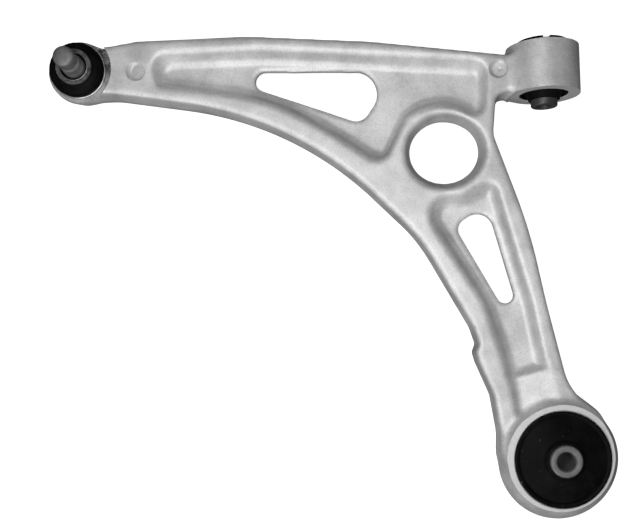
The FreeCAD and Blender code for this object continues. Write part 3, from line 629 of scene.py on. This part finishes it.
def mark_faces(piece, material, axis_at, chosen):
    """Gives a second material to faces of an upright turned piece.

    The faces are chosen by their middle's radius from the axis and height, in millimetres.
    """
    mesh = piece.data
    centres = np.empty(len(mesh.polygons) * 3)
    mesh.polygons.foreach_get("center", centres)
    x, y, z = (centres.reshape(-1, 3) / MM - axis_at).T
    mesh.materials.append(material)
    mesh.polygons.foreach_set("material_index", chosen(np.hypot(x, y), z).astype(int))


def finish(piece, material, body, node):
    """Dresses a rigid piece, mounts it on its body and lets it stand for a CAD node."""
    dress(piece, material)
    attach(piece, body)
    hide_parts(node)


def dress(piece, material):
    """Gives a piece one material in place of any that it has."""
    piece.data.materials.clear()
    piece.data.materials.append(material)
    return piece


# The forging


def near_oval(x, y, half_length, half_width):
    """Near distance to an oval: (|p / half axes| - 1) over the steepness of that field."""
    along, across = x / half_length, y / half_width
    size = np.maximum(np.hypot(along, across), 1e-6)
    steepness = np.hypot(along / half_length, across / half_width) / size
    return (size - 1) / np.maximum(steepness, 1e-6)


def drafted(plan, depth, lean):
    """A wall that starts on an outline and leans in by depth * tan(lean)."""
    return (plan + depth * math.tan(lean)) * math.cos(lean)


def sunk(sizes, corners, x, y, height, floor, inboard_lean):
    """A pocket: drafted walls under the rib's top, and a floor, joined by a fillet.

    On the inboard side the lean changes by the given share, in step with the X part of the
    outline's outward direction, which is the slope of the distance field.
    """
    plan = signed_distance(corners, x, y)
    inboard = np.clip(np.gradient(plan, axis=0) / (x[1, 0, 0] - x[0, 0, 0]), 0, 1)
    lean = math.tan(sizes.pocket_draft) * (1 + inboard_lean * inboard)
    walls = (plan + (sizes.rib_half_height - height) * lean) * math.cos(sizes.pocket_draft)
    return soft_max(walls, floor - height, sizes.floor_blend)


def forging_field(sizes, x, y, z):
    """A field that is zero on the forging's raw skin, negative in the metal.

    The ribs are the plan outline drawn up with draft to the ribs' height, and the pockets are
    taken out of them. The rear eye is a steep cone within a flatter one that makes its shoulder,
    the ball housing is a cone, and the front eye is a cylinder round Y. Each end is joined to
    the ribs by the smooth least of the two. The windows and the round hole, which widens with
    height, are taken away by the smooth greatest of the metal and the inverse of each.
    """
    height = np.abs(z)
    edge = sizes.edge_blend
    top = sizes.rib_half_height
    outer_wall = drafted(signed_distance(ARM_OUTLINE, x, y), height, sizes.wall_draft)
    ribs = soft_max(outer_wall, height - top, edge)
    web = sizes.web_half_height
    panel = sizes.panel_half_height + PANEL_SLOPE * (x - END_PANEL[0][0])
    for corners, floor, inboard_lean in (
        (FRONT_POCKET, web, POCKET_INBOARD_LEAN), (REAR_POCKET, web, POCKET_INBOARD_LEAN),
        (END_PANEL, panel, PANEL_INBOARD_LEAN),
    ):
        ribs = soft_max(ribs, -sunk(sizes, corners, x, y, height, floor, inboard_lean), edge)

    across = np.hypot(x - REAR_EYE_CENTRE[0], y - REAR_EYE_CENTRE[1])
    wall = drafted(across - REAR_EYE_RADIUS, height, REAR_EYE_LEAN)
    across = np.hypot(x - SHOULDER_CENTRE[0], y - SHOULDER_CENTRE[1])
    shoulder = drafted(across - SHOULDER_RADIUS, height, SHOULDER_LEAN)
    rear_eye = soft_max(soft_max(wall, shoulder, 3.0), height - REAR_EYE_HALF_HEIGHT, 1.0)

    across = np.hypot(x - BALL_JOINT[0], y - BALL_JOINT[1])
    taper = np.where(z < 0, HOUSING_TAPER_BELOW, HOUSING_TAPER_ABOVE) * height
    housing = soft_max(across - HOUSING_RADIUS + taper, height - HOUSING_HALF_HEIGHT, 3.0)
    housing = np.maximum(housing, z - HOUSING_TOP)

    across = np.hypot(x, z)
    front_eye = soft_max(across - FRONT_EYE_RADIUS, np.abs(y) - FRONT_EYE_HALF_LENGTH, 1.5)

    metal = soft_min(ribs, rear_eye, REAR_EYE_BLEND)
    metal = soft_min(metal, housing, HOUSING_BLEND)
    metal = soft_min(metal, front_eye, FRONT_EYE_BLEND)
    for corners in (FRONT_WINDOW, REAR_WINDOW):
        metal = soft_max(metal, -signed_distance(corners, x, y), WINDOW_BLEND)
    rise = height / top
    hole = near_oval(
        x - HOLE_CENTRE[0], y - HOLE_CENTRE[1] + HOLE_DRIFT * rise,
        HOLE_HALF_LENGTH, HOLE_HALF_WIDTH)
    return soft_max(metal, HOLE_FLARE * rise - hole, edge)


def forging_skin(sizes):
    """The forging's raw skin as a net over its field, sampled on an even grid."""
    cell = sizes.cell * 1
    low, high = corners_of("arm_forging")
    low, high = low - NET_MARGIN_BELOW, high + NET_MARGIN_ABOVE
    counts = np.ceil((high - low) / cell).astype(int) + 1
    x, y, z = (low[k] + cell * np.arange(counts[k]) for k in range(3))
    field = forging_field(sizes, x[:, None, None], y[None, :, None], z[None, None, :])
    return surface_net(field, low, cell)


def spool(flange, bore, half_height, edge=0.5, reach=6.0):
    """Profile of a cutter that bores an eye, breaks the bore's edges and faces both its ends."""
    return np.array([
        (0, -half_height - reach), (flange, -half_height - reach), (flange, -half_height),
        (bore + edge, -half_height), (bore, -half_height + edge), (bore, half_height - edge),
        (bore + edge, half_height), (flange, half_height), (flange, half_height + reach),
        (0, half_height + reach),
    ])


def housing_cutter():
    """Profile that turns the ball housing: its foot, cavity, mouth, neck and spotface."""
    return np.array([
        (0, -26), (28, -26), (28, -18.5), (16.9, -18.5), (16.4, -18.0), (16.4, -17.13),
        (17.33, -17.13), (17.33, -14.5), (16.53, -14.5), (16.53, 5.53), (13.9, 5.53),
        (15.6, 10.0), (16.1, 10.5), (18.2, 10.5), (18.6, 10.1), (18.6, 5.5), (26.0, 5.5),
        (26.6, 6.1), (26.9, 26.0), (0, 26.0),
    ])


def mark_cutter(name, place, lean, dimple):
    """Cuts a round die mark in a rib's top, leaning by some degrees, so that it runs out."""
    profile = rounded([
        (0, -1.8 - dimple, 0), (1.6, -1.8, 0.6), (5.6, -1.8, 2.0), (8.2, 1.2, 0.6), (8.4, 5.0, 0),
        (0, 5.0, 0),
    ], chord=0.3, closed=False)
    cutter = turned(name, profile, np.zeros(3), steps=96)
    swing = Matrix.Rotation(math.radians(lean), 4, "Y")
    cutter.data.transform(Matrix.Translation([c * MM for c in place]) @ swing)
    return cutter


def cut_away(piece, cutters):
    """Takes closed cutters out of a piece in one pass. Cut faces get their cutter's material."""
    tools = bpy.data.collections.new("cutters")
    for cutter in cutters:
        tools.objects.link(cutter)
    step = piece.modifiers.new("machining", "BOOLEAN")
    step.operation = "DIFFERENCE"
    step.operand_type = "COLLECTION"
    step.collection = tools
    step.solver = "EXACT"
    step.material_mode = "TRANSFER"
    bpy.context.view_layer.update()
    graph = bpy.context.evaluated_depsgraph_get()
    cut = bpy.data.meshes.new_from_object(piece.evaluated_get(graph))
    if len(cut.polygons) < len(piece.data.polygons) / 2:
        raise RuntimeError(f"machining {piece.name} left {len(cut.polygons)} faces")
    piece.modifiers.clear()
    piece.data = cut
    for cutter in cutters:
        bpy.data.objects.remove(cutter)
    bpy.data.collections.remove(tools)


class ARM_OT_forging(bpy.types.Operator):
    """Make the forged arm with its ribs, pockets and openings, and machine its three ends"""

    bl_idname = "control_arm.forging"
    bl_label = "Forging"

    def execute(self, context):
        sizes = context.scene.arm_sizes
        points, faces = forging_skin(sizes)
        forging = add_mesh("forging", points, faces.tolist())
        dress(forging, blasted_aluminium())
        machined = machined_aluminium()
        cutters = [
            turned("front_eye_cutter", spool(flange=29.0, bore=18.7, half_height=18.0),
                   FRONT_BUSH, axis="y"),
            turned("rear_eye_cutter", spool(flange=48.0, bore=36.4, half_height=19.5, edge=0.8),
                   REAR_BUSH),
            turned("housing_cutter", housing_cutter(), BALL_JOINT),
            mark_cutter("outer_mark_cutter", (-309.2, 8.2, 15.0), lean=-12.0, dimple=0.1),
            mark_cutter("inner_mark_cutter", (-35.6, -0.3, 15.0), lean=-10.0, dimple=0.7),
        ]
        skin = forging.data.materials[0]
        finishes = (machined, machined, grease_and_shade_aluminium(), skin, skin)
        for cutter, material in zip(cutters, finishes):
            dress(cutter, material)
        cut_away(forging, cutters)
        tidy_mesh(forging.data, sharp_angle=35.0)
        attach(forging, "arm")
        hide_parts("arm_forging")
        return {"FINISHED"}


# The bushes


class ARM_OT_front_bush(bpy.types.Operator):
    """Make the front bush: shell, rubber with its notched flange, and sleeve, about the Y axis"""

    bl_idname = "control_arm.front_bush"
    bl_label = "Front bush"

    def execute(self, context):
        sizes = context.scene.bush_sizes
        shell = rounded([
            (17.2, -17.5, 0.3), (18.67, -17.5, 0.5), (18.67, 18.0, 0.3), (17.2, 18.0, 0.3),
        ])
        piece = turned("front_shell", shell, FRONT_BUSH, axis="y")
        finish(piece, rubber("front_shell_coating"), "arm", "front_bush_shell")

        moulding = rounded([
            (10.23, -22.0, 0), (11.9, -22.0, 0.6), (12.8, -18.6, 3.0), (15.2, -15.4, 2.0),
            (17.17, -14.6, 0), (17.17, 18.05, 0), (20.0, 18.05, 0.4), (20.0, 19.3, 0),
            (20.0, 19.5, 0), (20.0, 22.4, 1.0), (13.2, 22.4, 0.6), (12.6, 21.6, 0.4),
            (10.23, 21.4, 0),
        ], chord=0.4)
        flange_radius, notch_radius, notch_floor = 20.0, 15.0, 19.4
        middle = 1.5 * math.pi
        half = sizes.notch_width / 2 / flange_radius
        wall = 0.03  # each side wall of the notch leans over this much of a turn, in radians
        edges = middle + np.array([-half - wall, -half, half, half + wall])

        def notched(turn, radius, height):
            """Radius cut down inside the notch, near the flange's outer face."""
            inside = (np.abs(turn - middle) < half + 1e-6) & (height > notch_floor)
            return np.where(inside, np.minimum(radius, notch_radius), radius), height

        piece = turned(
            "front_moulding", moulding, FRONT_BUSH, "y", extra_turns=edges, shape=notched)
        finish(piece, rubber("front_rubber"), "arm", "front_bush_rubber")

        sleeve = rounded([
            (6.15, -26.4, 0.2), (6.75, -27.0, 0.2), (9.5, -27.0, 0.3), (10.2, -26.3, 0.3),
            (10.2, 23.3, 0.3), (9.5, 24.0, 0.3), (6.75, 24.0, 0.2), (6.15, 23.4, 0.2),
        ])
        piece = turned("front_sleeve_tube", sleeve, FRONT_BUSH, axis="y")
        steel = dull_steel("front_sleeve_steel", FRONT_SLEEVE_STEEL, (0.4, 0.55), 0.5)
        finish(piece, steel, "front_sleeve", "front_bush_sleeve")
        return {"FINISHED"}


class ARM_OT_rear_bush(bpy.types.Operator):
    """Make the rear bush: shell, rubber cones at both ends, and sleeve, about a vertical axis"""

    bl_idname = "control_arm.rear_bush"
    bl_label = "Rear bush"

    def execute(self, context):
        lip = [
            (34.6, 18.9, 0.4), (32.9, 19.6, 0), (32.9, 20.0, 0), (33.5, 20.4, 0.3),
            (35.2, 21.0, 0.8), (36.37, 20.6, 0.8),
        ]
        foot = [(radius, -height, bend) for radius, height, bend in lip[::-1]]
        piece = turned("rear_shell", rounded(lip + foot, chord=0.25), REAR_BUSH)
        finish(piece, rubber("rear_shell_coating"), "arm", "rear_bush_shell")
        # The thin ring on the lip is painted pale steel, a painted highlight along the rim
        mark_faces(
            piece, dull_steel("lip_painted_highlight", LIP_HIGHLIGHT_STEEL), REAR_BUSH,
            lambda radius, height: (radius < HIGHLIGHT_RING_RADIUS) & (np.abs(height) > HIGHLIGHT_RING_HEIGHT))

        cone = np.array([
            (12.03, 28.0, 0), (13.6, 28.0, 0.8), (15.4, 25.3, 3.0), (32.6, 19.2, 1.0),
            (34.3, 18.6, 0), (34.3, 16.6, 0), (17.0, 22.2, 2.0), (12.03, 25.4, 0),
        ])
        skin = rubber("rear_rubber")
        for name, side in (("rear_cone_upper", 1.0), ("rear_cone_lower", -1.0)):
            piece = turned(name, rounded(cone * (1, side, 1), chord=0.5), REAR_BUSH)
            dress(piece, skin)
            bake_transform(piece)
            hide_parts("rear_bush_rubber")

        sleeve = rounded([
            (7.15, -31.0, 0.2), (8.15, -32.0, 0.2), (11.2, -32.0, 0.3), (12.0, -31.2, 0.3),
            (12.0, 31.2, 0.3), (11.2, 32.0, 0.3), (8.15, 32.0, 0.2), (7.15, 31.0, 0.2),
        ], chord=0.2)
        piece = turned("rear_sleeve_tube", sleeve, REAR_BUSH)
        steel = dull_steel("rear_sleeve_steel", REAR_SLEEVE_STEEL, (0.45, 0.6), 0.5)
        finish(piece, steel, "rear_sleeve", "rear_bush_sleeve")
        return {"FINISHED"}


# The ball joint


def boot_walls():
    """The boot's outer and inner skin from foot to collar, as profiles going up."""
    outer = rounded([
        (19.7, 5.7, 0), (19.7, 6.9, 0.2), (19.3, 7.1, 0.2), (19.3, 8.6, 0.2), (19.9, 9.0, 0.4),
        (20.6, 12.0, 6.0), (19.9, 15.6, 3.0), (16.8, 18.0, 2.5), (14.2, 18.7, 1.0),
        (13.3, 19.6, 0.5), (13.3, 22.4, 0.8), (11.03, 22.4, 0.3), (11.03, 18.7, 0),
    ], chord=0.3, closed=False)
    inner = rounded([
        (18.65, 5.7, 0), (18.65, 9.9, 0.5), (18.9, 11.8, 1.0), (18.5, 14.8, 1.5),
        (16.0, 16.9, 1.5), (13.3, 17.6, 0.8), (8.25, 17.6, 0), (8.25, 18.6, 0), (11.03, 18.7, 0),
    ], chord=0.4, closed=False)
    return outer, inner


def split_at(wall, height):
    """Cuts a rising profile where it first passes a height."""
    above = int(np.argmax(wall[:, 1] > height))
    low, high = wall[above - 1], wall[above]
    middle = low + (high - low) * (height - low[1]) / (high[1] - low[1])
    return np.vstack([wall[:above], middle]), np.vstack([middle, wall[above:]])


class ARM_OT_ball_joint(bpy.types.Operator):
    """Make the ball stud, its dust boot and rings, and the closing cap"""

    bl_idname = "control_arm.ball_joint"
    bl_label = "Ball joint"

    def execute(self, context):
        outer, inner = boot_walls()
        outer_low, outer_high = split_at(outer, BOOT_SPLIT)
        inner_low, inner_high = split_at(inner, BOOT_SPLIT)
        skin, dusty = rubber("boot_rubber"), dusty_rubber()
        for name, halves, bodies, span in (
            ("boot_lower", (outer_low, inner_low[::-1]),
             ("arm", "boot_middle"), LOWER_BOOT_SPAN),
            ("boot_upper", (outer_high, inner_high[:-1][::-1]),
             ("boot_middle", "boot_collar"), UPPER_BOOT_SPAN),
        ):
            piece = turned(name, np.vstack(halves), BALL_JOINT)
            dress(piece, skin)
            mark_faces(piece, dusty, BALL_JOINT, lambda radius, height: height > COLLAR_HEIGHT)
            start, end = (tuple((BALL_JOINT + (0, 0, h)) * MM) for h in span)
            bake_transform(piece)
            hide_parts("dust_boot")

        ring = rounded([
            (10.1, 18.8, 0.3), (10.95, 18.8, 0.3), (10.95, 22.1, 0.3), (10.1, 22.1, 0.3),
        ], chord=0.15)
        piece = turned("boot_ring", ring, BALL_JOINT)
        steel = dull_steel("ring_steel", RING_STEEL)
        finish(piece, steel, "boot_collar", "boot_upper_ring")

        # The clamp's wire goes once round, and its tail lifts off outwards over its start.
        wire_radius, loop_radius, loop_height, tail_lift = 0.72, 20.05, 7.85, 0.9
        start, overlap, lift_from, lift_over = 0.6, 0.45, 0.2, 0.5
        turn = np.linspace(start, start + 2 * math.pi + overlap, 160)[:, None]
        lift = np.clip((turn - 2 * math.pi - lift_from) / lift_over, 0, 1)
        radius = loop_radius + tail_lift * lift
        path = np.hstack([radius * np.cos(turn), radius * np.sin(turn), 0 * turn + loop_height])
        piece = swept_wire("boot_clamp", BALL_JOINT + path, wire_radius)
        steel = dull_steel("clamp_steel", CLAMP_STEEL, grain=900.0)
        finish(piece, steel, "arm", "boot_clamp_ring")

        # The stud's profile: an arc of the ball, the pin, and a domed tip.
        ball_radius, ball_height = 13.5, -1.0
        pin_radius, pin_top, dome_rise = 7.5, 46.3, 2.7
        swing = np.linspace(-1.15, 0.92, 40)[:, None]
        ball = ball_radius * np.hstack([np.cos(swing), np.sin(swing)]) + (0, ball_height)
        pin = rounded([
            (8.2, 10.0, 0), (8.2, 23.6, 0.3), (pin_radius, 25.4, 0.3), (pin_radius, 32.0, 0.4),
            (6.0, 33.6, 1.4), (6.0, 37.4, 1.4), (pin_radius, 39.0, 0.4), (pin_radius, pin_top, 0),
        ], chord=0.3, closed=False)
        rise = np.linspace(0, math.pi / 2, 16)[1:-1]
        dome = np.column_stack([
            pin_radius * np.cos(rise) ** 0.6, pin_top + dome_rise * np.sin(rise)])
        stud = np.vstack([(0, ball[0, 1]), ball, pin, dome, (0, pin_top + dome_rise)])
        steel = dull_steel("stud_steel_film", STUD_STEEL, (0.5, 0.7), 0.5, 700.0)
        finish(turned("stud", stud, BALL_JOINT), steel, "stud", "ball_stud")

        cap = rounded([
            (0, -14.6, 0), (17.3, -14.6, 0.2), (17.3, -17.0, 0.4), (14.6, -17.0, 1.0),
            (12.0, -16.0, 1.5), (4.0, -15.9, 1.0), (2.5, -15.5, 1.0), (0, -15.5, 0),
        ], chord=0.4, closed=False)
        piece = turned("bottom_cap", cap, BALL_JOINT)
        finish(piece, dull_steel("cap_steel", CAP_STEEL), "arm", "closing_cap")
        return {"FINISHED"}


class ARM_OT_inner_parts(bpy.types.Operator):
    """Give the enclosed parts of the rear bush and the ball joint their finishes"""

    bl_idname = "control_arm.inner_parts"
    bl_label = "Enclosed parts"

    def execute(self, context):
        channel = moulded_plastic("channel_nylon", CHANNEL_NYLON)
        race = moulded_plastic("race_acetal", RACE_ACETAL)
        coated = rubber("cage_coating")
        for node, material in (
            ("fluid_channel_inboard", channel), ("fluid_channel_outboard", channel),
            ("ball_race", race), ("rear_bush_cage", coated), ("rear_bush_stop", coated),
        ):
            dress(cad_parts[node], material)
        return {"FINISHED"}


# The stage


def add_light(name, place, target, size, power):
    """A square soft light that faces its target, with its size in metres."""
    lamp = bpy.data.lights.new(name, "AREA")
    lamp.shape = "RECTANGLE"
    lamp.size = lamp.size_y = size
    lamp.energy = power
    light = bpy.data.objects.new(name, lamp)
    bpy.context.scene.collection.objects.link(light)
    light.location = place
    facing = Vector(target) - light.location
    light.rotation_euler = facing.to_track_quat("-Z", "Y").to_euler()
    return light


class ARM_OT_stage(bpy.types.Operator):
    """Lay the pale floor, hang the soft lights and stand the camera over the arm"""

    bl_idname = "control_arm.stage"
    bl_label = "Stage"

    def execute(self, context):
        stage = context.scene.arm_stage
        low, high = (np.array(corner) for corner in CAD_BOX)
        middle = (low + high) / 2
        sweep = rounded([
            (0, 0, 0), (PAPER_REACH, 0, PAPER_BEND), (PAPER_REACH, PAPER_HEIGHT, PAPER_BEND),
            (0, PAPER_HEIGHT, 0),
        ], chord=0.1, closed=False)
        below = np.array([middle[0], middle[1], low[2] - PAPER_GAP])
        floor = turned("floor", sweep / MM, below / MM, steps=96)
        dress(floor, pale_floor())
        floor.visible_diffuse = False
        floor.visible_glossy = False

        add_light("key_light", KEY_PLACE, middle, KEY_SIZE, stage.key_power)
        overhead = add_light("top_light", TOP_PLACE, middle, TOP_SIZE, stage.top_power)
        overhead.visible_camera = False
        world = bpy.data.worlds.new("studio")
        world.use_nodes = True
        background = world.node_tree.nodes["Background"]
        background.inputs["Color"].default_value = (1.0, 1.0, 1.0, 1.0)
        background.inputs["Strength"].default_value = stage.surround
        context.scene.world = world
        context.scene.view_settings.view_transform = "Standard"

        lens = bpy.data.cameras.new("camera")
        lens.sensor_width = SENSOR_WIDTH
        lens.lens = FOCAL_LENGTH
        lens.shift_x, lens.shift_y = LENS_SHIFT
        lens.clip_start = 0.01
        camera = bpy.data.objects.new("camera", lens)
        camera.location = CAMERA_PLACE
        camera.rotation_euler = (0, 0, CAMERA_TURN)
        context.scene.collection.objects.link(camera)
        context.scene.camera = camera
        return {"FINISHED"}


class ARM_PT_panel(bpy.types.Panel):
    """Lists the pieces of the arm, in the order that they are made"""

    bl_idname = "ARM_PT_panel"
    bl_label = "Control Arm"
    bl_space_type = "VIEW_3D"
    bl_region_type = "UI"
    bl_category = "Control Arm"

    def draw(self, context):
        for operator in OPERATORS:
            self.layout.operator(operator.bl_idname)
        for group in (context.scene.arm_sizes, context.scene.bush_sizes, context.scene.arm_stage):
            for name in group.__annotations__:
                self.layout.prop(group, name)


GROUPS = {"arm_sizes": ArmSizes, "bush_sizes": BushSizes, "arm_stage": StageSettings}
OPERATORS = [
    ARM_OT_forging, ARM_OT_front_bush, ARM_OT_rear_bush, ARM_OT_ball_joint, ARM_OT_inner_parts,
    ARM_OT_stage,
]


def register():
    """Registers the settings, which the scene then holds, the operators and the panel."""
    for name, group in GROUPS.items():
        bpy.utils.register_class(group)
        setattr(bpy.types.Scene, name, PointerProperty(type=group))
    for item in (*OPERATORS, ARM_PT_panel):
        bpy.utils.register_class(item)


def unregister():
    """Undoes register, in the opposite order."""
    for item in reversed((*OPERATORS, ARM_PT_panel)):
        bpy.utils.unregister_class(item)
    for name, group in reversed(GROUPS.items()):
        delattr(bpy.types.Scene, name)
        bpy.utils.unregister_class(group)


def main():
    """Makes every piece and the stage."""
    register()
    for operator in OPERATORS:
        family, verb = operator.bl_idname.split(".")
        if getattr(getattr(bpy.ops, family), verb)() != {"FINISHED"}:
            raise RuntimeError(f"{operator.bl_label} did not finish")


if __name__ == "__main__":
    main()
